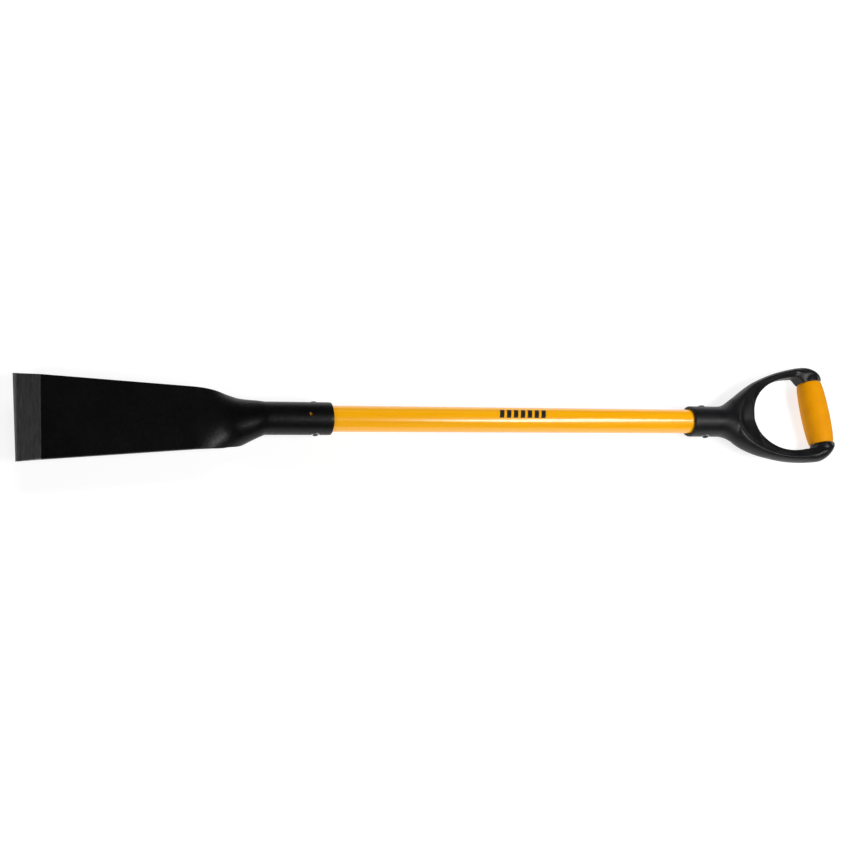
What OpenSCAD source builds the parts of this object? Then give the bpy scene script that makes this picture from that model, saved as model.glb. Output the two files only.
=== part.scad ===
// Long-handled chisel-blade grub hoe: a steel head, a glass-fibre shaft and a D grip.
// +X runs from the cutting edge to the grip, +Z comes out of the front of the blade.
// The shaft's axis is level, and the origin is under the middle of the tool, where it lies.

/* [Blade] */
// Width across the cutting edge
edge_w = 113; // [96:1:126]
// Width of the blade where the shoulder begins
neck_w = 83.5; // [76:0.5:92]
// Thickness of the blade plate
blade_t = 5.5; // [4.5:0.5:7]
// Length of the flat of the blade
flat_len = 215.5; // [170:0.5:260]
// Length of the ground bevel
bevel_len = 32.5; // [20:0.5:45]
// Thickness left at the cutting edge
edge_t = 1.2; // [0.6:0.2:2]
// How far one corner of the cutting edge leads the other
edge_skew = 3; // [0:0.5:6]

/* [Head socket] */
// Length of the shoulder, where the plate rolls into a tube
shoulder_len = 97; // [90:1:120]
// Length of the tubular socket
socket_len = 86; // [76:1:120]
// Wall of the socket
socket_t = 4.3; // [3.5:0.1:5]
// Gap left along the seam at the back of the socket
seam_gap = 2.5; // [1.5:0.5:4]
// Diameter of the hole in the front of the socket
front_hole_d = 6.5; // [5:0.5:10]

/* [Shaft] */
// Outer diameter of the shaft
shaft_d = 35; // [34:0.5:36]
// Wall of the shaft tube
shaft_t = 4; // [3:0.5:6]
// Length of shaft that shows between the two sockets
shaft_bare = 545; // [300:1:700]

/* [Grip] */
// Depth of the grip's socket
cup_len = 59; // [50:1:70]
// Wall of the grip's socket
cup_t = 5; // [4:0.5:6]
// Width over the two arms
grip_w = 150; // [142:1:158]
// Radius of the soft sleeve at its middle
sleeve_r = 21.2; // [20.5:0.1:23]
// Length of the soft sleeve
sleeve_len = 97; // [92:1:100]
// Radius of the bar inside the sleeve
bar_r = 13; // [11:0.5:14]
// Lean of the D's arms towards +Y, in degrees
lean = 6.5; // [0:0.5:8]
// Lean of the bar and its sleeve, in degrees
bar_lean = 1.8; // [0:0.1:5]

/* [Rivets] */
// Diameter of the rivets
rivet_d = 6; // [5:0.5:8]
// Thickness of the washers under the formed ends
washer_t = 1.2; // [0.8:0.2:2]

/* [Hidden] */
$fn = 96;

// Stations along the shaft, measured from the leading corner of the cutting edge
socket_x = flat_len + shoulder_len;
mouth_x = socket_x + socket_len;
cup_x = mouth_x + shaft_bare;
neck_x = cup_x + cup_len;
head_rivet_x = mouth_x - 22;
front_hole_x = mouth_x - 30;
cup_rivet_x = cup_x + 26;

// Radii and seats
shaft_r = shaft_d / 2;
socket_r = shaft_r + socket_t;
cup_r = shaft_r + cup_t;
rivet_r = rivet_d / 2;
seat_drop = 0.7;
head_seat = socket_r - seat_drop;
cup_seat = cup_r - seat_drop - 0.2;
head_rivet_r = 5;
cup_rivet_r = 6;
rim = 1.6;
skin = 0.25;

// Shoulder: the plate turns from flat to a tube that is open by the seam gap
overlap = 1.5;
roll_start = flat_len;
roll_end = socket_x - 2.5;
roll_power = 1.95;
crown_start = flat_len + 38;
crown_end = socket_x;
crown_power = 1.2;
flare_start = flat_len + 45;
flare_end = socket_x + overlap;
mid_r = socket_r - socket_t / 2;
full_turn = 180 - asin(seam_gap / 2 / mid_r) + 1.5;
tube_half = mid_r * full_turn * PI / 180;
sheet_steps = 36;
roll_steps = 30;

// Grip outline: [distance past the socket, half width] from the neck to the bar
outline = [[-11, cup_r], [4, cup_r + 3], [21, 0.238 * grip_w], [39, 0.309 * grip_w], [59, 0.372 * grip_w],
           [84, 0.428 * grip_w], [109, 0.468 * grip_w], [139, 0.494 * grip_w], [163, grip_w / 2]];
crotch = 55.5;
ridge_start = 16;
bar_at = 169;
grip_end = 190.5;
corner_r = 36;
hole_w = 57;
hole_shift = 3;
hole_run = 72;
ridge_w = grip_w / 2 - 9.5;
ridge_run = 115;
ridge_curve = 1.8;
web_half = 6;
collar_r = sleeve_r - 4;
arm_half = 13;
bend_start = 26;
bend_run = 40;
lip = 0.8;
side_steps = 12;
neck_steps = 12;
arm_steps = 32;
min_arm = 2;

function clamp(a) = max(0, min(1, a));
function ease(a) = let (c = clamp(a)) c * c * (3 - 2 * c);
function mix(a, b, k) = a + (b - a) * k;
function quarter(a) = sqrt(1 - pow(1 - clamp(a), 2));

// Smooth curve through a list of [x, y] points
function grade(p, i) = i == 0 || i == len(p) - 1 ? 0 : (p[i + 1].y - p[i - 1].y) / (p[i + 1].x - p[i - 1].x);
function span(p, x) = max([for (i = [0:len(p) - 2]) if (i == 0 || p[i].x <= x) i]);
function along(p, x) =
    let (c = min(max(x, p[0].x), p[len(p) - 1].x), i = span(p, c))
    let (h = p[i + 1].x - p[i].x, s = (c - p[i].x) / h)
    p[i].y * (1 + 2 * s) * pow(1 - s, 2) + p[i + 1].y * s * s * (3 - 2 * s)
    + h * (grade(p, i) * s * pow(1 - s, 2) - grade(p, i + 1) * s * s * (1 - s));

// The blade's half width, straight from the cutting edge to the shoulder
function blade_half(x) = mix(edge_w, neck_w, x / flat_len) / 2;

// Rolled sheet: turn of its edge, developed half width, height of its crown and thickness
function turn(x) = full_turn * pow(clamp((x - roll_start) / (roll_end - roll_start)), roll_power);
function sheet_half(x) = mix(blade_half(x), tube_half, ease((x - flare_start) / (flare_end - flare_start)));
function crown(x) = mid_r * ease(pow(clamp((x - crown_start) / (crown_end - crown_start)), crown_power));
function sheet_t(x) = mix(blade_t, socket_t - 2 * skin, ease((x - roll_start) / shoulder_len));
function sheet_r(x) = sheet_half(x) / (turn(x) * PI / 180);
function sheet_point(x, f, side) =
    let (a = turn(x) * f, t = side * sheet_t(x) / 2)
    turn(x) < 0.01 ? [x, sheet_half(x) * f, crown(x) + t]
                   : [x, sheet_r(x) * sin(a) + t * sin(a), crown(x) - sheet_r(x) * (1 - cos(a)) + t * cos(a)];
function sheet_section(x) = concat(
    [for (i = [0:sheet_steps]) sheet_point(x, 2 * i / sheet_steps - 1, 1)],
    [for (i = [sheet_steps:-1:0]) sheet_point(x, 2 * i / sheet_steps - 1, -1)]);
roll_sections = [for (i = [0:roll_steps])
    sheet_section(flat_len + (shoulder_len + overlap) * i / roll_steps)];

// Grip: outer and inner edge, ridge line and half thickness at a distance past the socket.
// The opening reaches a little further towards +Y, so those that follow it take a side, 1 or -1.
function corner_cut(x) = let (a = max(0, x - grip_end + corner_r) / corner_r)
    corner_r * (1 - sqrt(max(0, 1 - a * a)));
function inner(x, side) = x <= crotch ? 0
    : mix((hole_w + side * hole_shift) * quarter((x - crotch) / hole_run), sleeve_len / 2,
          ease((x - bar_at + 22.5 + 3.5 * side) / (10 + 2 * side)));
function outer(x, side) = max(along(outline, x) - corner_cut(x), inner(x, side) + min_arm);
function ridge_reach(x) = let (u = clamp((x - ridge_start) / ridge_run))
    ridge_w * pow(1 - pow(1 - u, ridge_curve), 1 / ridge_curve);
function ridge(x, side) = x <= ridge_start ? 0
    : max(inner(x, side) + min_arm / 4,
          mix(ridge_reach(x), mix(inner(x, side), outer(x, side), 0.5), ease((x - ridge_run - 10) / 30)));
function arm_depth(x) = mix(cup_r, arm_half, ease((x + 12) / 85));
function corner_depth(x) = collar_r * sqrt(max(0.06, 1 - pow(max(0, x - bar_at) / (grip_end - bar_at), 2)));
function depth(x) = mix(arm_depth(x), corner_depth(x), ease((x - bar_at + 30) / 30));
function web_edge(x) = mix(web_half, 0.8 * depth(x), ease((x - crotch - 40) / 60));
function web(x) = mix(depth(x), web_edge(x), ease((x - ridge_start) / 20));
// Half thickness at a place across the section, from the inner edge to the outer one
function height(x, y, side) = let (top = ridge(x, side))
    y > top ? max(lip, depth(x) * sqrt(max(0, 1 - pow((y - top) / (outer(x, side) - top), 2))))
            : mix(web(x), depth(x), pow((y - inner(x, side)) / max(0.01, top - inner(x, side)), 1.6));
// Places across: even up to the ridge, then closer towards the rounded edge
function across(x, i, side) = i <= side_steps / 3
    ? mix(inner(x, side), ridge(x, side), 3 * i / side_steps)
    : mix(ridge(x, side), outer(x, side), sin(90 * (i - side_steps / 3) / (side_steps * 2 / 3)));
function bend(x) = lean * clamp((x - bend_start) / bend_run) - (lean - bar_lean) * ease(x / bar_at);
function drift(x) = let (d = max(0, x - bend_start))
    d < bend_run ? lean * PI / 180 * d * d / bend_run / 2
                 : lean * PI / 180 * bend_run / 2 + tan(lean) * (d - bend_run);
// A point of the grip in the tool's frame
function placed(x, y, z) = [neck_x + x - y * sin(bend(x)), y * cos(bend(x)) + drift(x), z];
function arm_point(x, i, side, up) = let (y = across(x, i, side))
    placed(x, side * y, up * height(x, y, side));
function arm_section(x, side) = concat(
    [for (i = [0:side_steps]) arm_point(x, i, side, side)],
    [for (i = [side_steps:-1:0]) arm_point(x, i, side, -side)]);
function neck_section(x) = let (n = side_steps) concat(
    [for (i = [-n:n]) arm_point(x, abs(i), i < 0 ? -1 : 1, 1)],
    [for (i = [n:-1:-n]) arm_point(x, abs(i), i < 0 ? -1 : 1, -1)]);
arm_last = grip_end - 0.6;
neck_sections = [for (i = [0:neck_steps]) neck_section(mix(overlap / 2, crotch, i / neck_steps))];
function arm_station(i) = let (s = i / arm_steps)
    mix(crotch, arm_last, s < 0.5 ? 2 * s * s : 1 - 2 * pow(1 - s, 2));
function arm_sections(side) = [for (i = [0:arm_steps]) arm_section(arm_station(i), side)];

// Where the origin goes: under the middle of the tool, at its lowest point
grip_points = [for (s = [-1, 1]) for (r = arm_sections(s)) each r];
low_z = min([for (r = roll_sections) for (p = r) p.z]);
far_x = max([for (p = grip_points) p.x]);
mid_y = (max([for (p = grip_points) p.y]) + min([for (p = grip_points) p.y])) / 2;

// Closed solid through sections that each run out along one side and back along the other
module loft(sections) {
    n = len(sections[0]);
    rings = len(sections);
    last = (rings - 1) * n;
    function wall(i, j) = let (a = i * n + j, b = i * n + (j + 1) % n) [[a, b + n, a + n], [a, b, b + n]];
    function cap(j) = [[j, n - 2 - j, j + 1], [j, n - 1 - j, n - 2 - j]];
    function flipped(t) = [last + t[0], last + t[2], last + t[1]];
    walls = [for (i = [0:rings - 2]) for (j = [0:n - 1]) each wall(i, j)];
    first_cap = [for (j = [0:n / 2 - 2]) each cap(j)];
    polyhedron(
        points = [for (s = sections) each s],
        faces = concat(walls, first_cap, [for (t = first_cap) flipped(t)]),
        convexity = 6);
}

// Rounded-mouth tube along +X
module mouth_tube(r, len, mouth) {
    rotate([0, 90, 0])
        rotate_extrude()
            intersection() {
                square([r, len]);
                union() {
                    square([r - rim, len]);
                    translate([0, mouth > 0 ? 0 : rim])
                        square([r, len - rim]);
                    translate([r - rim, mouth > 0 ? len - rim : rim])
                        circle(rim);
                }
            }
}

module rod_x(r, from, to) {
    translate([from, 0, 0])
        rotate([0, 90, 0])
            cylinder(r = r, h = to - from);
}

module rod_y(r, from, to, x) {
    translate([x, from, 0])
        rotate([-90, 0, 0])
            cylinder(r = r, h = to - from);
}

// Shallow button: part of a ball, with its flat side at the start
module button(r, h) {
    ball = (r * r + h * h) / (2 * h);
    rotate_extrude()
        intersection() {
            translate([0, h - ball])
                circle(ball);
            square([r, h]);
        }
}

module on_floor() {
    translate([-far_x / 2, -mid_y, -low_z])
        children();
}

module blade_plate() {
    difference() {
        translate([0, 0, -blade_t / 2])
            linear_extrude(blade_t)
                polygon([[0, blade_half(0)], [flat_len, blade_half(flat_len)],
                         [flat_len, -blade_half(flat_len)], [edge_skew, -blade_half(edge_skew)]]);
        rotate([90, 0, 0])
            linear_extrude(2 * edge_w, center = true)
                polygon([[-bevel_len, blade_t], [bevel_len, blade_t], [bevel_len, blade_t / 2],
                         [0, edge_t - blade_t / 2],
                         [-bevel_len, 2 * edge_t - 1.5 * blade_t]]);
    }
}

module blade_head() {
    color("#17171a")
        on_floor()
            difference() {
                union() {
                    blade_plate();
                    loft(roll_sections);
                    translate([socket_x, 0, 0])
                        mouth_tube(socket_r, socket_len, 1);
                }
                rod_x(shaft_r, socket_x, mouth_x + 1);
                translate([roll_end - 2, -seam_gap / 2, -2 * socket_r])
                    cube([mouth_x, seam_gap, 2 * socket_r]);
                rod_y(rivet_r, -2 * socket_r, 2 * socket_r, head_rivet_x);
                rod_y(head_rivet_r + 1, head_seat, 2 * socket_r, head_rivet_x);
                rod_y(head_rivet_r + 1, -2 * socket_r, -head_seat, head_rivet_x);
                translate([front_hole_x, 0, 0])
                    cylinder(d = front_hole_d, h = 2 * socket_r);
            }
}

// Rivet across the shaft, with a domed head at +Y and a formed end at -Y that sits on a washer
module rivet(x, seat, head_r, head_h) {
    rod_y(rivet_r, -seat - washer_t, seat, x);
    translate([x, seat, 0])
        rotate([-90, 0, 0])
            button(head_r, head_h);
    translate([x, -seat - washer_t, 0])
        rotate([90, 0, 0])
            button(head_r - 1.4, head_h - 0.6);
}

module rivet_washer(x, seat, r) {
    difference() {
        rod_y(r, -seat - washer_t, -seat, x);
        rod_y(rivet_r, -seat - 2 * washer_t, 0, x);
    }
}

module head_rivet() {
    color("#2a2a2c")
        on_floor()
            rivet(head_rivet_x, head_seat, head_rivet_r, 2.2);
}

module head_rivet_washer() {
    color("silver")
        on_floor()
            rivet_washer(head_rivet_x, head_seat, head_rivet_r + 0.4);
}

module shaft_tube() {
    color("#f2a900")
        on_floor()
            difference() {
                rod_x(shaft_r, socket_x, neck_x);
                rod_x(shaft_r - shaft_t, socket_x - 1, neck_x + 1);
                rod_y(rivet_r, -shaft_d, shaft_d, head_rivet_x);
                rod_y(rivet_r, -shaft_d, shaft_d, cup_rivet_x);
            }
}

module dowel(from, to, rivet_x) {
    difference() {
        rod_x(shaft_r - shaft_t, from, to);
        rod_y(rivet_r, -shaft_d, shaft_d, rivet_x);
    }
}

module head_dowel() {
    color("burlywood")
        on_floor()
            dowel(socket_x, mouth_x - 4, head_rivet_x);
}

module grip_dowel() {
    color("burlywood")
        on_floor()
            dowel(cup_x + 2, neck_x, cup_rivet_x);
}

// The bar's middle, along the leaning D
module at_bar() {
    translate(placed(bar_at, 0, 0))
        rotate([-90, 0, bar_lean])
            children();
}

module grip_frame() {
    color("#242428")
        on_floor()
            difference() {
                union() {
                    translate([cup_x, 0, 0])
                        mouth_tube(cup_r, cup_len + overlap, -1);
                    loft(neck_sections);
                    loft(arm_sections(1));
                    loft(arm_sections(-1));
                    at_bar()
                        cylinder(r = bar_r, h = sleeve_len + 12, center = true);
                    for (s = [-1, 1])
                        at_bar()
                            translate([0, 0, s * (sleeve_len / 2 + 5)])
                                cylinder(r = collar_r, h = 10, center = true);
                }
                rod_x(shaft_r, cup_x - 1, neck_x);
                rod_y(rivet_r, -2 * cup_r, 2 * cup_r, cup_rivet_x);
                rod_y(cup_rivet_r + 0.6, cup_seat, 2 * cup_r, cup_rivet_x);
                rod_y(cup_rivet_r + 0.6, -2 * cup_r, -cup_seat, cup_rivet_x);
            }
}

module grip_rivet() {
    color("#2a2a2c")
        on_floor()
            rivet(cup_rivet_x, cup_seat, cup_rivet_r, 3);
}

module grip_rivet_washer() {
    color("silver")
        on_floor()
            rivet_washer(cup_rivet_x, cup_seat, cup_rivet_r);
}

module grip_sleeve() {
    half = sleeve_len / 2;
    steps = 24;
    color("#e08a00")
        on_floor()
            at_bar()
                rotate_extrude()
                    polygon(concat(
                        [[bar_r, half], [bar_r, -half]],
                        [for (i = [0:steps]) let (a = 180 * i / steps - 90)
                            [collar_r + (sleeve_r - collar_r) * cos(a), half * sin(a)]]));
}

blade_head();
head_rivet();
head_rivet_washer();
shaft_tube();
head_dowel();
grip_dowel();
grip_frame();
grip_rivet();
grip_rivet_washer();
grip_sleeve();
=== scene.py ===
"""A long-handled grub hoe: the visible pieces, their materials, the light and the camera."""
import math

import bmesh
import bpy
import numpy as np
from mathutils import Euler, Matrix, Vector


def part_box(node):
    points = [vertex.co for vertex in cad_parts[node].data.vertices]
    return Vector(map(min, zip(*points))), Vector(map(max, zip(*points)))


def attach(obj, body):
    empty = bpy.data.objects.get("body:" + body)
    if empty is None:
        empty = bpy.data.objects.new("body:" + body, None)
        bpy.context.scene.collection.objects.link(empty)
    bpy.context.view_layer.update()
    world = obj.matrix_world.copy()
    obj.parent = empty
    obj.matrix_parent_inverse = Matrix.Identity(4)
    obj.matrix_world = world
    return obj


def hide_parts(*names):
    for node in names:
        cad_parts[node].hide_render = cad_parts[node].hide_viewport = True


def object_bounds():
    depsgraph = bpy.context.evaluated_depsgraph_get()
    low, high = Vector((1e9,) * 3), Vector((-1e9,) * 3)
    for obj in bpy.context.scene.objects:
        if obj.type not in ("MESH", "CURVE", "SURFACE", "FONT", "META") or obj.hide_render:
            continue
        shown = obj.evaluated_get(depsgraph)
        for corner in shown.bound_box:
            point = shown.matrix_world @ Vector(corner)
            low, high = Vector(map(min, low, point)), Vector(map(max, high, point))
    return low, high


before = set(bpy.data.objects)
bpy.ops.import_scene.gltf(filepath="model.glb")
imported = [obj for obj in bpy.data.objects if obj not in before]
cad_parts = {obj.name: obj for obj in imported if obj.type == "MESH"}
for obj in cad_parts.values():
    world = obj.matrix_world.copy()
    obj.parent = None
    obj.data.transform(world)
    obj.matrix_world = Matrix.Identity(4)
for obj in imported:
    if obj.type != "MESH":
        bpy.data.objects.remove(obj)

cad_low, cad_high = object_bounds()
BODY = "root"

# ---------------------------------------------------------------- places, all taken from the frame
head_low, head_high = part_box("blade_head")
shaft_low, shaft_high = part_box("shaft_tube")
edge_x, mouth_x = head_low.x, head_high.x
socket_x, neck_x = shaft_low.x, shaft_high.x
socket_start = socket_x - edge_x
cup_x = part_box("grip_frame")[0].x
axis_y = (shaft_low.y + shaft_high.y) / 2
axis_z = (shaft_low.z + shaft_high.z) / 2
shaft_r = (shaft_high.y - shaft_low.y) / 2
MM = 0.001
SAME_POINT = 0.01 * MM
OFF_SQUARE = math.radians(17)        # tilt from square to the blade, of the camera and of the strip light


def node_middle_x(node):
    low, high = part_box(node)
    return (low.x + high.x) / 2


head_rivet_at = node_middle_x("head_rivet") - edge_x
cup_rivet_at = node_middle_x("grip_rivet") - edge_x


# ---------------------------------------------------------------- curves
def clamp(a):
    return np.clip(a, 0, 1)


def ease(a):
    a = clamp(a)
    return a * a * (3 - 2 * a)


def ramp(x, start, run):
    """Smooth climb from 0 at start to 1 at start + run."""
    return float(ease((x - start) / run))


def mix(a, b, k):
    return a + (b - a) * k


def quarter(a):
    """Height of a quarter circle, from 0 at a = 0 to 1 at a = 1."""
    return math.sqrt(1 - (1 - float(clamp(a))) ** 2)


def smooth_curve(points, x):
    """Height at x of a smooth curve through (x, y) points."""
    xs, ys = zip(*points)
    x = min(max(x, xs[0]), xs[-1])
    slopes = [0] * len(xs)
    for i in range(1, len(xs) - 1):
        slopes[i] = (ys[i + 1] - ys[i - 1]) / (xs[i + 1] - xs[i - 1])
    i = max(k for k in range(len(xs) - 1) if k == 0 or xs[k] <= x)
    h = xs[i + 1] - xs[i]
    s = (x - xs[i]) / h
    return (ys[i] * (1 + 2 * s) * (1 - s) ** 2 + ys[i + 1] * s * s * (3 - 2 * s)
            + h * (slopes[i] * s * (1 - s) ** 2 - slopes[i + 1] * s * s * (1 - s)))


# ---------------------------------------------------------------- mesh helpers
def new_object(name, points, faces, sharp_angle=40):
    mesh = bpy.data.meshes.new(name)
    corners = [tuple(float(c) for c in p) for p in points]
    mesh.from_pydata(corners, [], [tuple(int(i) for i in f) for f in faces])
    mesh.validate()
    obj = bpy.data.objects.new(name, mesh)
    bpy.context.scene.collection.objects.link(obj)
    tidy_mesh(obj, sharp_angle)
    return obj


def tidy_mesh(obj, sharp_angle):
    """Outward normals, no doubled points, smooth shading with sharp edges kept."""
    bm = bmesh.new()
    bm.from_mesh(obj.data)
    bmesh.ops.remove_doubles(bm, verts=bm.verts, dist=SAME_POINT)
    bmesh.ops.dissolve_degenerate(bm, edges=bm.edges, dist=SAME_POINT)
    bmesh.ops.recalc_face_normals(bm, faces=bm.faces)
    bm.to_mesh(obj.data)
    bm.free()
    obj.data.shade_smooth()
    obj.data.set_sharp_from_angle(angle=math.radians(sharp_angle))


def ring_walls(rings, count):
    faces = []
    for i in range(rings - 1):
        for j in range(count):
            a, b = i * count + j, i * count + (j + 1) % count
            faces.append((a, b, b + count, a + count))
    return faces


def paired_cap(count, first=0):
    """Closes a ring whose second half runs back along its first."""
    last = first + count - 1
    return [(first + j, first + j + 1, last - 1 - j, last - j) for j in range(count // 2 - 1)]


def lathe(name, profile, centre, axis, segments=64, wobble=0.0, sharp_angle=40):
    """Turns (distance along, radius) points about an axis through centre.

    The points either start and end on the axis, or end where they began.
    """
    axis = Vector(axis).normalized()
    side = axis.orthogonal().normalized()
    up = axis.cross(side)
    points, rows = [], []
    for along, radius in profile:
        if radius < 1e-7:
            rows.append([len(points)])
            points.append(Vector(centre) + axis * along)
            continue
        row = []
        for k in range(segments):
            a = 2 * math.pi * k / segments
            r = radius * (1 + wobble * math.sin(3 * a + 0.7) + 0.6 * wobble * math.sin(5 * a + 2.1))
            row.append(len(points))
            across = Vector(centre) + axis * along + side * (r * math.cos(a))
            points.append(across + up * (r * math.sin(a)))
        rows.append(row)
    faces = []
    for low, high in zip(rows, rows[1:]):
        for k in range(segments):
            m = (k + 1) % segments
            quad = [low[k % len(low)], low[m % len(low)], high[m % len(high)], high[k % len(high)]]
            faces.append(tuple(dict.fromkeys(quad)))
    return new_object(name, points, faces, sharp_angle)


def rod(name, r, start, end):
    start, end = Vector(start), Vector(end)
    length = (end - start).length
    return lathe(name, [(0, 0), (0, r), (length, r), (length, 0)], start, end - start)


def apply_modifiers(obj, sharp_angle):
    bpy.context.view_layer.update()
    done = bpy.data.meshes.new_from_object(obj.evaluated_get(bpy.context.evaluated_depsgraph_get()))
    obj.modifiers.clear()
    obj.data = done
    tidy_mesh(obj, sharp_angle)


def combine(obj, tool, operation, sharp_angle):
    """Joins tool to obj, or cuts it out, and drops the tool."""
    modifier = obj.modifiers.new("combine", "BOOLEAN")
    modifier.operation, modifier.solver, modifier.object = operation, "EXACT", tool
    apply_modifiers(obj, sharp_angle)
    bpy.data.objects.remove(tool)


def place(x, y, z):
    """A point given from the cutting edge and the shaft's axis, in the row frame."""
    return (edge_x + x, axis_y + y, axis_z + z)


def cut_seats(obj, at, seat, r, sharp_angle):
    """Flat round seats for the two ends of a rivet, on both sides of a socket."""
    for side in (-1, 1):
        tool = rod("seat_tool", r, place(at, side * seat, 0), place(at, side * CUT_REACH, 0))
        combine(obj, tool, "DIFFERENCE", sharp_angle)


def finish_piece(obj, material, slot, *nodes):
    obj.data.materials.clear()
    obj.data.materials.append(material)
    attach(obj, BODY)
    if nodes:
        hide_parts(*nodes)
    return obj


# ---------------------------------------------------------------- blade head
EDGE_W = 113 * MM
NECK_W = 83.5 * MM
BLADE_T = 5.5 * MM
SHOULDER_LEN = 97 * MM
FLAT_LEN = socket_start - SHOULDER_LEN
BEVEL_LEN = 32.5 * MM
EDGE_T = 1.2 * MM
HONED_LEN = 2.6 * MM
HONED_T = 0.5 * MM
EDGE_SKEW = 3 * MM
SOCKET_T = 4.3 * MM
SEAM_GAP = 2.5 * MM
FRONT_HOLE_R = 3.25 * MM
FRONT_HOLE_BACK = 30 * MM            # from the socket's mouth
HEAD_SEAT_R = 6 * MM
CUT_REACH = 40 * MM                  # from the axis to well outside both sockets
HEAD_SHARP = 32                      # degrees
MOUTH_RIM = 1.6 * MM
SIDE_ROUND = 1.1 * MM
socket_r = shaft_r + SOCKET_T
mid_r = socket_r - SOCKET_T / 2
full_turn = math.pi - math.asin(SEAM_GAP / 2 / mid_r)
tube_half = mid_r * full_turn
head_seat = socket_r - 0.7 * MM
roll_end = socket_start - 2.5 * MM
flare_start = FLAT_LEN + 45 * MM
flare_end = socket_start + 1.5 * MM
crown_start = FLAT_LEN + 38 * MM
ROLL_POWER = 1.95
CROWN_POWER = 1.2
ARC = [math.radians(a) for a in (12, 34, 56, 78)]        # points round each corner of the sheet
SHEET_STEPS = 84


def blade_half(x):
    return mix(EDGE_W, NECK_W, x / FLAT_LEN) / 2


def sheet_shape(x):
    """Developed half width, turn of the edge, height of the crown and thickness of the sheet at x."""
    half = mix(blade_half(x), tube_half, ramp(x, flare_start, flare_end - flare_start))
    turn = full_turn * clamp((x - FLAT_LEN) / (roll_end - FLAT_LEN)) ** ROLL_POWER
    crown = mid_r * ease(clamp((x - crown_start) / (socket_start - crown_start)) ** CROWN_POWER)
    thick = mix(BLADE_T, SOCKET_T, ramp(x, FLAT_LEN, SHOULDER_LEN))
    return float(half), float(turn), float(crown), float(thick)


def front_offset(x, thick):
    """Front face above the middle of the plate, with the ground bevel and the honed strip."""
    if x >= BEVEL_LEN:
        return thick / 2
    slope = (thick - EDGE_T) / BEVEL_LEN
    bevel = EDGE_T + slope * x
    honed = mix(HONED_T, EDGE_T + slope * HONED_LEN, x / HONED_LEN)
    return min(bevel, honed) - thick / 2 if x < HONED_LEN else bevel - thick / 2


def sheet_ring(x, inset=0.0, ahead=0.0):
    """A ring round the sheet at x, bent to its turn; inset and ahead round off the socket's mouth."""
    half, turn, crown, thick = sheet_shape(x)
    front, back = front_offset(x, thick) - inset, thick / 2
    r = min(SIDE_ROUND, 0.48 * (front + back))
    run = np.linspace(-(half - r), half - r, SHEET_STEPS)
    arc_s = np.array([half - r + r * math.cos(a) for a in ARC])
    arc_o = np.array([r * math.sin(a) for a in ARC])
    upper_s = np.concatenate([-arc_s, run, arc_s[::-1]])
    upper_o = front - r + np.concatenate([arc_o, np.full(SHEET_STEPS, r), arc_o[::-1]])
    lower_o = -back + r - np.concatenate([arc_o, np.full(SHEET_STEPS, r), arc_o[::-1]])
    s = np.concatenate([upper_s, upper_s[::-1]])
    o = np.concatenate([upper_o, lower_o[::-1]])
    if turn > 1e-4:
        rad = half / turn
        y, z = (rad + o) * np.sin(s / rad), crown - rad + (rad + o) * np.cos(s / rad)
    else:
        y, z = s, crown + o
    skew = EDGE_SKEW * (1 - y / half) / 2 * (1 - clamp(x / BEVEL_LEN))
    return [place(x + ahead + d, b, c) for d, b, c in zip(skew, y, z)]


def blade_stations():
    """Where the rings stand along the head, closest where the ground faces end."""
    honed = [0, 0.4 * MM, 1.4 * MM, 2.4 * MM, HONED_LEN, 2.9 * MM]
    bevel = list(np.linspace(5 * MM, 31 * MM, 10)) + [32.2 * MM, BEVEL_LEN, 32.8 * MM, 34 * MM]
    flat = list(np.linspace(38 * MM, FLAT_LEN, 24))
    roll = list(np.linspace(FLAT_LEN, socket_start, 64))[1:]
    tube = list(np.linspace(socket_start, mouth_x - edge_x - MOUTH_RIM, 20))[1:]
    return honed + bevel + flat + roll + tube


def make_blade_head(material):
    stations = blade_stations()
    rings = [sheet_ring(x) for x in stations]
    for a in (22, 45, 67, 90):
        turn = math.radians(a)
        inset, ahead = MOUTH_RIM * (1 - math.cos(turn)), MOUTH_RIM * math.sin(turn)
        rings.append(sheet_ring(stations[-1], inset, ahead))
    count = len(rings[0])
    faces = ring_walls(len(rings), count)
    faces += paired_cap(count) + paired_cap(count, (len(rings) - 1) * count)
    head = new_object("blade_head_steel", [p for r in rings for p in r], faces, HEAD_SHARP)
    hole_at = mouth_x - edge_x - FRONT_HOLE_BACK
    hole = rod("hole_tool", FRONT_HOLE_R, place(hole_at, 0, 0), place(hole_at, 0, CUT_REACH))
    combine(head, hole, "DIFFERENCE", HEAD_SHARP)
    cut_seats(head, head_rivet_at, head_seat, HEAD_SEAT_R, HEAD_SHARP)
    mark_ground_faces(head)
    return finish_piece(head, material, "coated_steel", "blade_head")


def mark_ground_faces(head):
    """A point attribute: 1 on the ground bevel and the honed edge, 0 on the coated steel."""
    co = np.zeros(len(head.data.vertices) * 3)
    head.data.vertices.foreach_get("co", co)
    co = co.reshape(-1, 3)
    x, z = co[:, 0] - edge_x, co[:, 2] - axis_z
    on_bevel = (x < BEVEL_LEN - 0.1 * MM) & (z > -BLADE_T / 2 + 0.2 * MM)
    ground = on_bevel | (x < HONED_LEN)
    attribute = head.data.attributes.new("ground", "FLOAT", "POINT")
    attribute.data.foreach_set("value", ground.astype(np.float32))


# ---------------------------------------------------------------- shaft and its printed mark
SHAFT_T = 4 * MM


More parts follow.
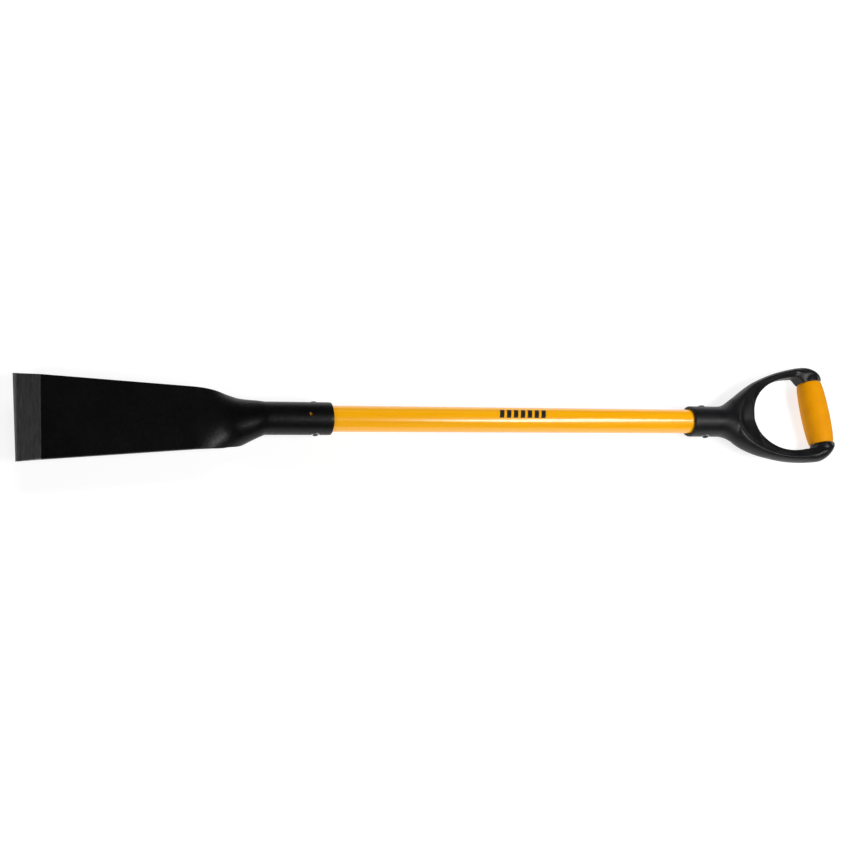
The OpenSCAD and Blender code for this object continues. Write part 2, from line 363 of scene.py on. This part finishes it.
def make_shaft(material):
    length, inner, chamfer = neck_x - socket_x, shaft_r - SHAFT_T, 0.4 * MM
    outer = [(0, shaft_r - chamfer), (chamfer, shaft_r)]
    outer += [(length * k / 24, shaft_r) for k in range(1, 24)]
    outer += [(length - chamfer, shaft_r), (length, shaft_r - chamfer)]
    profile = outer + [(length, inner), (0, inner), (0, shaft_r - chamfer)]
    tube = lathe("shaft_tube_glass", profile, (socket_x, axis_y, axis_z), (1, 0, 0), segments=128)
    return finish_piece(tube, material, "glass_fibre", "shaft_tube")


def make_mark(material):
    """A plain printed band of slanted bars on the front of the shaft."""
    bars, pitch, bar_w, slant = 7, 10.5 * MM, 6.6 * MM, 3.2 * MM
    start, low, high = 634.5 * MM, -2 * MM, 11 * MM
    ink, rows = 0.06 * MM, 10
    points, faces = [], []
    for b in range(bars):
        first = len(points)
        for k in range(rows + 1):
            v = mix(low, high, k / rows)
            a = v / shaft_r
            lean = slant * k / rows
            for level in (0.0, ink):
                r = shaft_r + level
                for x in (start + b * pitch + lean, start + b * pitch + lean + bar_w):
                    points.append(place(x, r * math.sin(a), r * math.cos(a)))
        for k in range(rows):
            q = first + 4 * k
            faces += [(q + 2, q + 3, q + 7, q + 6), (q, q + 4, q + 5, q + 1),
                      (q, q + 2, q + 6, q + 4), (q + 1, q + 5, q + 7, q + 3)]
        last = first + 4 * rows
        faces += [(first, first + 1, first + 3, first + 2), (last, last + 2, last + 3, last + 1)]
    mark = new_object("shaft_mark", points, faces)
    return finish_piece(mark, material, "black_moulding")


# ---------------------------------------------------------------- grip frame
GRIP_SHARP = 60                      # degrees
CUP_T = 5 * MM
BORE_GAP = 0.15 * MM
CUP_SEAT_R = 6.6 * MM
GRIP_W = 150 * MM
SLEEVE_LEN = 97 * MM
SLEEVE_R = 21.2 * MM
BAR_R = 13 * MM
COLLAR_LEN = 10 * MM
LEAN = math.radians(6.5)
BAR_LEAN = math.radians(1.8)
CROTCH = 55.5 * MM
RIDGE_START = 16 * MM
BAR_AT = 169 * MM
TURN_IN = {1: (26 * MM, 12 * MM), -1: (19 * MM, 8 * MM)}   # by side: start before the bar's middle, and run
GRIP_END = 190.5 * MM
CORNER_R = 36 * MM
HOLE_W = 57 * MM
HOLE_SHIFT = 3 * MM
HOLE_RUN = 72 * MM
RIDGE_W = GRIP_W / 2 - 9.5 * MM
RIDGE_RUN = 115 * MM
RIDGE_CURVE = 1.8
RIDGE_ROUND = 1.1 * MM
RIDGE_TURN = RIDGE_RUN + 10 * MM
RIDGE_TURN_RUN = 30 * MM
WEB_HALF = 6 * MM
WEB_AT_BAR = 0.8
WEB_CURVE = 1.6
SCOOP_RUN = 20 * MM
THICKEN_START, THICKEN_RUN = CROTCH + 40 * MM, 60 * MM
ARM_HALF = 13 * MM
THIN_START, THIN_RUN = -12 * MM, 85 * MM
COLLAR_BLEND = 30 * MM
CORNER_LEAST = 0.06
BEND_START = 26 * MM
BEND_RUN = 40 * MM
MIN_ARM = 2 * MM
VOXEL = 1.15 * MM
cup_r = shaft_r + CUP_T
cup_seat = cup_r - 0.9 * MM
collar_r = SLEEVE_R - 4 * MM
OUTLINE = [(-11 * MM, cup_r), (4 * MM, cup_r + 3 * MM), (21 * MM, 0.238 * GRIP_W),
           (39 * MM, 0.309 * GRIP_W), (59 * MM, 0.372 * GRIP_W), (84 * MM, 0.428 * GRIP_W),
           (109 * MM, 0.468 * GRIP_W), (139 * MM, 0.494 * GRIP_W), (163 * MM, GRIP_W / 2)]
SIDE_STEPS = 56
ARM_STEPS = 110


def corner_cut(x):
    a = max(0, x - GRIP_END + CORNER_R) / CORNER_R
    return CORNER_R * (1 - math.sqrt(max(0, 1 - a * a)))


def inner(x, side):
    """Edge of the D opening, which reaches a little further towards +Y (side 1) than -Y (side -1)."""
    if x <= CROTCH:
        return 0.0
    opening = (HOLE_W + side * HOLE_SHIFT) * quarter((x - CROTCH) / HOLE_RUN)
    before_bar, run = TURN_IN[side]
    return mix(opening, SLEEVE_LEN / 2, ramp(x, BAR_AT - before_bar, run))


def outer(x, side):
    return max(smooth_curve(OUTLINE, x) - corner_cut(x), inner(x, side) + MIN_ARM)


def ridge(x, side):
    """Line between the rounded outside and the scoop, which ends halfway across the arm by the bar."""
    if x <= RIDGE_START:
        return 0.0
    left = 1 - float(clamp((x - RIDGE_START) / RIDGE_RUN))
    reach = RIDGE_W * (1 - left ** RIDGE_CURVE) ** (1 / RIDGE_CURVE)
    near_bar = mix(inner(x, side), outer(x, side), 0.5)
    line = mix(reach, near_bar, ramp(x, RIDGE_TURN, RIDGE_TURN_RUN))
    return max(inner(x, side) + MIN_ARM / 4, line)


def depth(x):
    """Half thickness at the ridge."""
    arm = mix(cup_r, ARM_HALF, ramp(x, THIN_START, THIN_RUN))
    past = max(0, x - BAR_AT) / (GRIP_END - BAR_AT)
    corner = collar_r * math.sqrt(max(CORNER_LEAST, 1 - past ** 2))
    return mix(arm, corner, ramp(x, BAR_AT - COLLAR_BLEND, COLLAR_BLEND))


def web(x):
    """Half thickness at the scoop's inner edge."""
    edge = mix(WEB_HALF, WEB_AT_BAR * depth(x), ramp(x, THICKEN_START, THICKEN_RUN))
    return mix(depth(x), edge, ramp(x, RIDGE_START, SCOOP_RUN))


def height(x, y, side):
    """Half thickness: the rounded outside and the scooped inside, meeting in a softened ridge."""
    top, line, near = depth(x), ridge(x, side), inner(x, side)
    outside = top * math.sqrt(max(0, 1 - (max(0, y - line) / (outer(x, side) - line)) ** 2))
    if x <= RIDGE_START:
        return outside
    rise = max(0, y - near) / max(0.01 * MM, line - near)
    inside = mix(web(x), top, rise ** WEB_CURVE)
    k = float(clamp(0.5 + 0.5 * (inside - outside) / RIDGE_ROUND))
    return mix(inside, outside, k) - RIDGE_ROUND * k * (1 - k)


def half_section(x, side=1):
    """Points across half a section, closer together towards the rounded outer edge."""
    near, far = inner(x, side), outer(x, side)
    ys = [mix(near, far, 1 - (1 - i / SIDE_STEPS) ** 2) for i in range(SIDE_STEPS + 1)]
    return [(y, height(x, y, side)) for y in ys[:-1]] + [(ys[-1], 0.0)]


def leaning(x, y, z):
    """A point of the grip, x past the socket's end, in the row frame."""
    d = max(0, x - BEND_START)
    bend = LEAN * min(1, d / BEND_RUN) - (LEAN - BAR_LEAN) * ramp(x, 0, BAR_AT)
    if d < BEND_RUN:
        drift = LEAN * d * d / BEND_RUN / 2
    else:
        drift = LEAN * BEND_RUN / 2 + math.tan(LEAN) * (d - BEND_RUN)
    return (neck_x + x - y * math.sin(bend), axis_y + y * math.cos(bend) + drift, axis_z + z)


def neck_section(x):
    """The whole ring: over the front from -Y to +Y, and back underneath."""
    half = half_section(x)
    front = [(-y, z) for y, z in half[:0:-1]] + half
    return front + [(y, -z) for y, z in front[-2:0:-1]]


def round_section(r):
    return [(y * r / math.hypot(y, z), z * r / math.hypot(y, z)) for y, z in neck_section(-20 * MM)]


def cup_sections():
    """From the bottom of the bore out to the mouth and round its rim."""
    start, bore = cup_x - neck_x, shaft_r + BORE_GAP
    path = [(0.0, bore), (start * 0.5, bore), (start + 1.2 * MM, bore), (start + 0.2 * MM, bore + 0.4 * MM)]
    for degrees in (90, 68, 45, 22, 0):
        a = math.radians(degrees)
        path.append((start + MOUTH_RIM * (1 - math.sin(a)), cup_r - MOUTH_RIM * (1 - math.cos(a))))
    path += [(x, cup_r) for x in np.linspace(start + 4 * MM, -13 * MM, 12)]
    return [[leaning(x, y, z) for y, z in round_section(r)] for x, r in path]


def arm_stations():
    """Where the rings stand along an arm, closest at its two ends."""
    last = GRIP_END - 0.3 * MM
    ks = [k / ARM_STEPS for k in range(1, ARM_STEPS + 1)]
    return [mix(CROTCH, last, 2 * s * s if s < 0.5 else 1 - 2 * (1 - s) ** 2) for s in ks]


def add_arm(points, faces, ring, side):
    """Carries a half ring of the neck out along one arm and closes its end."""
    for x in arm_stations():
        half = half_section(x, side)
        section = half + [(y, -z) for y, z in half[-2::-1]]
        new = list(range(len(points), len(points) + len(section)))
        points += [leaning(x, side * y, z) for y, z in section]
        for j in range(len(ring)):
            k = (j + 1) % len(ring)
            faces.append((ring[j], ring[k], new[k], new[j]))
        ring = new
    faces += paired_cap(len(ring), ring[0])


def grip_shell():
    sections = cup_sections()
    sections += [[leaning(x, y, z) for y, z in neck_section(x)] for x in np.linspace(-10 * MM, CROTCH, 70)]
    count = len(sections[0])
    points = [p for section in sections for p in section]
    faces = ring_walls(len(sections), count)
    points.append(leaning(0.0, 0.0, 0.0))
    faces += [(len(points) - 1, (j + 1) % count, j) for j in range(count)]
    last, n = (len(sections) - 1) * count, SIDE_STEPS
    # In the last ring, n is the middle of the front, 2n the +Y edge, 3n the middle of the back and
    # 0 the -Y edge.
    plus = [last + n + i for i in range(2 * n + 1)]
    minus = [last + n - i for i in range(n + 1)] + [last + 4 * n - i for i in range(1, n + 1)]
    add_arm(points, faces, plus, 1)
    add_arm(points, faces, minus, -1)
    return new_object("grip_frame_moulding", points, faces, GRIP_SHARP)


def bar_line():
    middle = Vector(leaning(BAR_AT, 0, 0))
    return middle, (Vector(leaning(BAR_AT, 0.01, 0)) - middle).normalized()


def soften(obj, rounds):
    """Rebuilds the surface as even quads and relaxes it, which leaves moulded fillets in the corners."""
    remesh = obj.modifiers.new("even", "REMESH")
    remesh.mode, remesh.voxel_size = "VOXEL", VOXEL
    relax = obj.modifiers.new("relax", "SMOOTH")
    relax.factor, relax.iterations = 0.5, rounds
    apply_modifiers(obj, GRIP_SHARP)


def make_grip_frame(material):
    body = grip_shell()
    bar_mid, bar_dir = bar_line()
    end, collar_end, chamfer = SLEEVE_LEN / 2, SLEEVE_LEN / 2 + COLLAR_LEN, 2 * MM
    half_profile = [(end, BAR_R), (end, collar_r), (collar_end - chamfer, collar_r),
                    (collar_end, collar_r - chamfer), (collar_end, 0)]
    profile = [(-p, r) for p, r in half_profile[::-1]] + half_profile
    bar = lathe("bar_tool", profile, bar_mid, bar_dir, segments=96)
    combine(body, bar, "UNION", GRIP_SHARP)
    soften(body, rounds=9)
    cut_seats(body, cup_rivet_at, cup_seat, CUP_SEAT_R, GRIP_SHARP)
    return finish_piece(body, material, "black_moulding", "grip_frame")


def make_sleeve(material):
    bar_mid, bar_dir = bar_line()
    half, steps, lip = SLEEVE_LEN / 2, 48, 0.9 * MM
    profile = [(-half, BAR_R), (-half, collar_r - lip)]
    for i in range(steps + 1):
        a = math.radians(180 * i / steps - 90)
        swell = (SLEEVE_R - collar_r) * math.cos(a)
        profile.append(((half - lip * 0.4) * math.sin(a), collar_r + swell))
    profile += [(half, collar_r - lip), (half, BAR_R), (-half, BAR_R)]
    sleeve = lathe("grip_sleeve_rubber", profile, bar_mid, bar_dir, segments=128, sharp_angle=55)
    sleeve.visible_glossy = False        # the photo shows no amber reflection in the black moulding
    return finish_piece(sleeve, material, "soft_grip", "grip_sleeve")


# ---------------------------------------------------------------- rivets
RIVET_R = 3 * MM
WASHER_T = 1.2 * MM
DOME_STEPS = 10


def dome(start, r, h):
    """Profile of a shallow dome from its rim to its top, with a small upright edge."""
    edge = 0.25 * h
    rim = [(start, r), (start + edge * 0.6, r)]
    turns = [math.pi / 2 * k / DOME_STEPS for k in range(DOME_STEPS)]
    cap = [(start + edge + (h - edge) * math.sin(a), (r - 0.1 * MM) * math.cos(a)) for a in turns]
    return rim + cap + [(start + h, 0)]


def make_rivet(name, node, at, seat, head_r, head_h, material):
    """A rivet across a socket, with its head on the +Y side and a smaller formed end over the washer."""
    tail_r, tail_h = head_r - 1.4 * MM, head_h - 0.6 * MM
    tail = [(-p, r) for p, r in dome(seat + WASHER_T, tail_r, tail_h)][::-1]
    profile = tail + [(-seat - WASHER_T, RIVET_R), (seat, RIVET_R)] + dome(seat, head_r, head_h)
    rivet = lathe(name, profile, place(at, 0, 0), (0, 1, 0), segments=48, wobble=0.012)
    return finish_piece(rivet, material, "black_rivet", node)


def make_washer(name, node, at, seat, r, material):
    outside, round_off = -seat - WASHER_T, 0.3 * MM
    profile = [(-seat, RIVET_R), (-seat, r), (outside + round_off, r), (outside, r - round_off),
               (outside, RIVET_R), (-seat, RIVET_R)]
    washer = lathe(name, profile, place(at, 0, 0), (0, 1, 0), segments=48)
    return finish_piece(washer, material, "bright_steel", node)


# ---------------------------------------------------------------- materials
class Nodes:
    """Short forms for building a material's node tree."""

    def __init__(self, name):
        self.material = bpy.data.materials.new(name)
        self.material.use_nodes = True
        self.tree = self.material.node_tree
        self.shader = self.tree.nodes["Principled BSDF"]
        self.place = self.add("ShaderNodeTexCoord").outputs["Object"]

    def add(self, kind, inputs=None, **settings):
        node = self.tree.nodes.new(kind)
        for key, value in settings.items():
            setattr(node, key, value)
        for key, value in (inputs or {}).items():
            self.link(value, node.inputs[key])
        return node

    def link(self, value, socket):
        if isinstance(value, bpy.types.NodeSocket):
            self.tree.links.new(value, socket)
        else:
            socket.default_value = value

    def noise(self, scale, detail, rough, stretch=(1, 1, 1)):
        spread = self.add("ShaderNodeMapping", {"Vector": self.place, "Scale": stretch})
        node = self.add("ShaderNodeTexNoise", {"Vector": spread.outputs[0], "Scale": scale,
                                               "Detail": detail, "Roughness": rough})
        return node.outputs["Fac"]

    def spread(self, value, low, high, to_low=0.0, to_high=1.0):
        return self.add("ShaderNodeMapRange", {"Value": value, "From Min": low, "From Max": high,
                                               "To Min": to_low, "To Max": to_high}).outputs["Result"]

    def math(self, operation, a, b):
        return self.add("ShaderNodeMath", {0: a, 1: b}, operation=operation).outputs[0]

    def colour(self, factor, a, b):
        node = self.add("ShaderNodeMix", {"Factor": factor}, data_type="RGBA")
        self.link(a, node.inputs[6])
        self.link(b, node.inputs[7])
        return node.outputs[2]

    def blend(self, factor, a, b):
        node = self.add("ShaderNodeMix", {"Factor": factor}, data_type="FLOAT")
        self.link(a, node.inputs[2])
        self.link(b, node.inputs[3])
        return node.outputs[0]

    def bump(self, height, distance, strength):
        node = self.add("ShaderNodeBump", {"Height": height, "Distance": distance, "Strength": strength})
        return node.outputs["Normal"]

    def set(self, **values):
        for key, value in values.items():
            self.link(value, self.shader.inputs[key.replace("_", " ")])
        return self.material


def coated_steel():
    n = Nodes("coated_steel")
    ground = n.add("ShaderNodeAttribute", attribute_name="ground").outputs["Fac"]
    x = n.add("ShaderNodeSeparateXYZ", {"Vector": n.place}).outputs["X"]
    grain = n.noise(1400, 3, 0.7)
    peel = n.noise(260, 3, 0.5)
    cloud = n.noise(14, 4, 0.6)
    brush = n.noise(60, 5, 0.7, (26, 1, 1))
    coat_colour = n.colour(n.spread(cloud, 0.35, 0.7),
                           (0.0012, 0.0012, 0.0014, 1), (0.003, 0.003, 0.0032, 1))
    speck = n.spread(grain, 0.62, 0.78)
    coat_colour = n.colour(n.math("MULTIPLY", speck, 0.35), coat_colour, (0.03, 0.03, 0.032, 1))
    honed = n.spread(x, edge_x + 2.2 * MM, edge_x + 5.5 * MM, 1.0, 0.0)
    steel_colour = n.colour(n.spread(brush, 0.3, 0.7), (0.16, 0.16, 0.165, 1), (0.3, 0.3, 0.305, 1))
    stain = n.math("MULTIPLY", n.spread(cloud, 0.5, 0.75), 0.35)
    steel_colour = n.colour(stain, steel_colour, (0.2, 0.15, 0.1, 1))
    steel_colour = n.colour(honed, steel_colour, (0.62, 0.62, 0.63, 1))
    rough_coat = n.spread(peel, 0.3, 0.7, 0.3, 0.42)
    rough_steel = n.spread(brush, 0.3, 0.7, 0.3, 0.5)
    coat_height = n.math("ADD", n.math("MULTIPLY", grain, 0.6), peel)
    height = n.blend(ground, coat_height, n.math("MULTIPLY", brush, 0.5))
    return n.set(Base_Color=n.colour(ground, coat_colour, steel_colour), Metallic=ground,
                 Roughness=n.blend(ground, rough_coat, rough_steel), Specular_IOR_Level=0.22,
                 Normal=n.bump(height, 0.2 * MM, 1.0))


def glass_fibre():
    n = Nodes("glass_fibre")
    fibre = n.noise(180, 4, 0.6, (0.05, 1, 1))
    cloud = n.noise(9, 3, 0.5, (0.4, 1, 1))
    colour = n.colour(n.spread(fibre, 0.3, 0.7), (0.93, 0.40, 0.0, 1), (0.98, 0.45, 0.0, 1))
    shade = n.math("MULTIPLY", n.spread(cloud, 0.45, 0.7), 0.25)
    colour = n.colour(shade, colour, (0.9, 0.36, 0.003, 1))
    return n.set(Base_Color=colour, Roughness=n.spread(fibre, 0.2, 0.8, 0.23, 0.27),
                 Coat_Weight=0.4, Coat_Roughness=0.06, Normal=n.bump(fibre, 0.01 * MM, 0.05))


def moulded_black():
    n = Nodes("moulded_black")
    fine = n.noise(1600, 2, 0.6)
    swirl = n.noise(45, 4, 0.55)
    colour = n.colour(n.spread(swirl, 0.35, 0.7), (0.005, 0.005, 0.006, 1), (0.009, 0.009, 0.01, 1))
    return n.set(Base_Color=colour, Roughness=n.spread(swirl, 0.3, 0.7, 0.34, 0.46),
                 Specular_IOR_Level=0.26, Normal=n.bump(fine, 0.03 * MM, 0.6))


def soft_rubber():
    n = Nodes("soft_rubber")
    fine = n.noise(1200, 3, 0.6)
    cloud = n.noise(35, 4, 0.6)
    colour = n.colour(n.spread(cloud, 0.35, 0.7), (0.7, 0.262, 0.0, 1), (0.78, 0.31, 0.0, 1))
    return n.set(Base_Color=colour, Roughness=n.spread(cloud, 0.3, 0.7, 0.52, 0.64),
                 Specular_IOR_Level=0.12, Normal=n.bump(fine, 0.05 * MM, 0.6))


def plated_steel(name, dark, light, rough):
    n = Nodes(name)
    wear = n.noise(420, 4, 0.65)
    scratch = n.noise(900, 3, 0.7, (1, 0.2, 1))
    colour = n.colour(n.spread(wear, 0.35, 0.68), dark, light)
    roughness = n.spread(scratch, 0.3, 0.7, rough, rough + 0.18)
    return n.set(Base_Color=colour, Metallic=1.0, Roughness=roughness,
                 Normal=n.bump(wear, 0.05 * MM, 0.6))


def hardwood():
    n = Nodes("hardwood")
    grain = n.noise(90, 5, 0.65, (0.06, 1, 1))
    pore = n.noise(700, 3, 0.6, (0.05, 1, 1))
    colour = n.colour(n.spread(grain, 0.3, 0.7), (0.36, 0.22, 0.1, 1), (0.55, 0.37, 0.2, 1))
    return n.set(Base_Color=colour, Roughness=n.spread(pore, 0.3, 0.7, 0.5, 0.7),
                 Normal=n.bump(pore, 0.1 * MM, 0.7))


def printed_ink():
    n = Nodes("printed_ink")
    patch = n.noise(500, 3, 0.6)
    colour = n.colour(n.spread(patch, 0.3, 0.7), (0.008, 0.008, 0.009, 1), (0.02, 0.018, 0.015, 1))
    return n.set(Base_Color=colour, Roughness=n.spread(patch, 0.3, 0.7, 0.3, 0.45),
                 Normal=n.bump(patch, 0.01 * MM, 0.5))


# ---------------------------------------------------------------- stage
def make_floor():
    n = Nodes("studio_floor")
    tone = n.noise(3, 3, 0.5)
    colour = n.colour(tone, (0.36, 0.36, 0.36, 1), (0.39, 0.39, 0.39, 1))
    n.set(Base_Color=colour, Roughness=0.9, Specular_IOR_Level=0.1,
          Emission_Color=(1, 1, 1, 1), Emission_Strength=0.74)
    size = 30.0
    mesh = bpy.data.meshes.new("floor")
    corners = [(-size, -size, 0), (size, -size, 0), (size, size, 0), (-size, size, 0)]
    mesh.from_pydata(corners, [], [(0, 1, 2, 3)])
    floor = bpy.data.objects.new("floor", mesh)
    floor.location.z = cad_low.z - 0.2 * MM
    bpy.context.scene.collection.objects.link(floor)
    floor.data.materials.append(n.material)


def make_light(name, place_at, aim, size, power, shiny=True):
    """A rectangular soft light. One that isn't shiny leaves no reflection of itself."""
    data = bpy.data.lights.new(name, "AREA")
    data.shape, data.size, data.size_y, data.energy = "RECTANGLE", size[0], size[1], power
    lamp = bpy.data.objects.new(name, data)
    lamp.visible_glossy = shiny
    lamp.location = place_at
    lamp.rotation_euler = (Vector(aim) - Vector(place_at)).to_track_quat("-Z", "Y").to_euler()
    bpy.context.scene.collection.objects.link(lamp)


def make_studio():
    middle = Vector(((edge_x + neck_x) / 2, axis_y, axis_z))
    beyond, away = 1.47, 1.5
    strip = place(beyond, -away * math.sin(OFF_SQUARE), away * math.cos(OFF_SQUARE))
    make_light("strip", strip, middle + Vector((0.3, 0, 0)), (0.95, 0.36), 18)
    make_light("far_side", middle + Vector((0.1, 2.6, 1.7)), middle, (2.6, 1.0), 54, False)
    make_light("near_side", middle + Vector((0.2, -2.5, 1.2)), middle, (2.6, 1.0), 22, False)
    make_light("blade_end", middle + Vector((-2.1, -1.0, 1.5)), middle + Vector((-0.4, 0, 0)),
               (0.4, 0.4), 16)
    world = bpy.data.worlds.new("studio")
    world.use_nodes = True
    background = world.node_tree.nodes["Background"].inputs
    background["Color"].default_value = (1, 1, 1, 1)
    background["Strength"].default_value = 0.06
    bpy.context.scene.world = world
    bpy.context.scene.view_settings.view_transform = "Standard"


def make_camera():
    """Above the cutting edge, off square to the blade and turned about 20 degrees towards the grip."""
    away, beyond = 1.575, 0.0385
    data = bpy.data.cameras.new("camera")
    data.lens, data.sensor_width = 51.93, 36
    camera = bpy.data.objects.new("camera", data)
    camera.location = place(-beyond, -away * math.sin(OFF_SQUARE), away * math.cos(OFF_SQUARE))
    camera.rotation_euler = Euler([math.radians(a) for a in (17.525, -19.219, -5.628)])
    bpy.context.scene.collection.objects.link(camera)
    bpy.context.scene.camera = camera


# ---------------------------------------------------------------- the tool
make_camera()
make_studio()
make_floor()
coat, amber, black, rubber = coated_steel(), glass_fibre(), moulded_black(), soft_rubber()
dark_rivet = plated_steel("dark_rivet", (0.03, 0.03, 0.032, 1), (0.12, 0.12, 0.12, 1), 0.34)
bright = plated_steel("bright_zinc", (0.5, 0.5, 0.51, 1), (0.72, 0.72, 0.73, 1), 0.22)
wood, ink = hardwood(), printed_ink()

make_blade_head(coat)
make_shaft(amber)
make_mark(ink)
make_grip_frame(black)
make_sleeve(rubber)
make_rivet("head_rivet_steel", "head_rivet", head_rivet_at, head_seat, 5 * MM, 2.2 * MM, dark_rivet)
make_washer("head_washer_steel", "head_rivet_washer", head_rivet_at, head_seat, 5.4 * MM, bright)
make_rivet("grip_rivet_steel", "grip_rivet", cup_rivet_at, cup_seat, 6 * MM, 3 * MM, dark_rivet)
make_washer("grip_washer_steel", "grip_rivet_washer", cup_rivet_at, cup_seat, 6 * MM, bright)
for node in ("head_dowel", "grip_dowel"):
    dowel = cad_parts[node]
    dowel.data.materials.clear()
    dowel.data.materials.append(wood)
